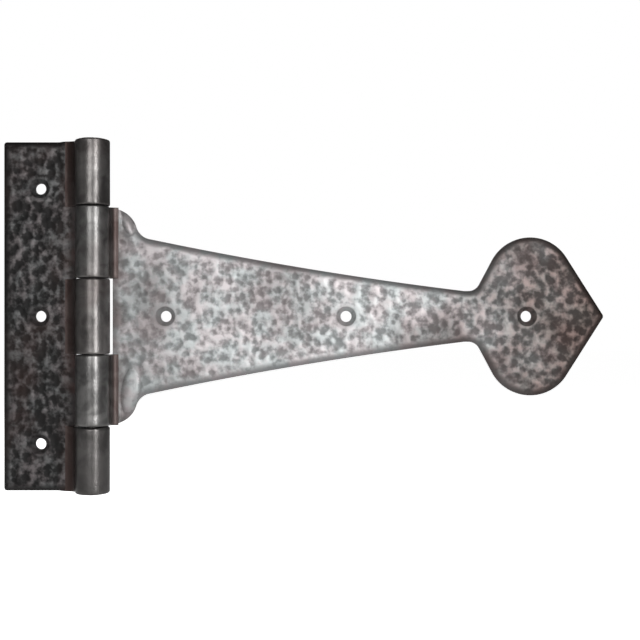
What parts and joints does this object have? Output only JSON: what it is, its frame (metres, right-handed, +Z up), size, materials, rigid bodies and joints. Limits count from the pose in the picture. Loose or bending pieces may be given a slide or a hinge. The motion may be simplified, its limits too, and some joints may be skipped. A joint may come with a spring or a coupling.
{
  "type": "tee hinge",
  "caption": "Hammered iron tee hinge with a narrow screw-on frame leaf, a tapered strap leaf ending in a spade, and a riveted pin.",
  "frame": {"origin": "the middle screw hole of the frame leaf, on the flat back that lies on the wall", "axes": "+Z up along the hinge pin, +X out along the strap towards the spade tip, -Y to the front, towards the room"},
  "size_m": [0.216, 0.0122, 0.1272],
  "materials": {
    "frame_leaf_iron": "hammered iron with a dark waxed patina, dull grey on the high ridges and rust brown near the barrel",
    "strap_leaf_iron": "hammered iron, worn pewter grey on the ridges and dark in the hollows, with a smooth dark barrel",
    "pin_steel": "oiled steel rod with dark hammered ends"
  },
  "bodies": {
    "frame": {"frame_leaf": "frame_leaf_iron", "hinge_pin": "pin_steel"},
    "strap": {"strap_leaf": "strap_leaf_iron"}
  },
  "joints": [
    {"name": "strap_swing", "type": "hinge", "parent": "frame", "child": "strap", "pos_m": [0.0198, -0.0061, 0], "axis": [0, 0, -1], "range_deg": [-90, 190]}
  ]
}
